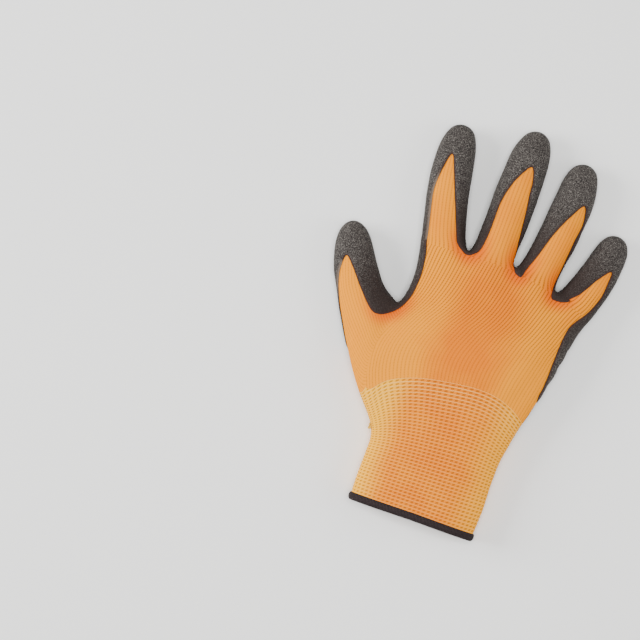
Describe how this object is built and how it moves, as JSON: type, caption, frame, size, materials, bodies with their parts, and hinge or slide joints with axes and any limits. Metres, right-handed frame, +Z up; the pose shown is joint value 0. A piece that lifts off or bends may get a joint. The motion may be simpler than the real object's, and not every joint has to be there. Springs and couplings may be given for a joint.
{
  "type": "latex coated knitted work glove, right hand",
  "caption": "Seamless orange knitted work glove with a dark crinkle latex coat over palm and fingertips, an elastic cuff and an overlocked hem.",
  "frame": {"origin": "middle of the glove's footprint, on the surface that it lies on", "axes": "+Y from the hem to the fingertips, +Z up through the back of the hand, +X across the hand away from the thumb"},
  "size_m": [0.1772, 0.2596, 0.0301],
  "materials": {
    "knit": "matt fine-gauge polyester knit",
    "cuff_knit": "matt elasticated knit with pale elastic courses",
    "latex": "crinkled satin latex",
    "hem_thread": "matt overlock thread"
  },
  "bodies": {
    "root": {"knit_hand": "knit", "knit_cuff": "cuff_knit", "latex_coat": "latex", "hem_overlock": "hem_thread"}
  },
  "joints": []
}
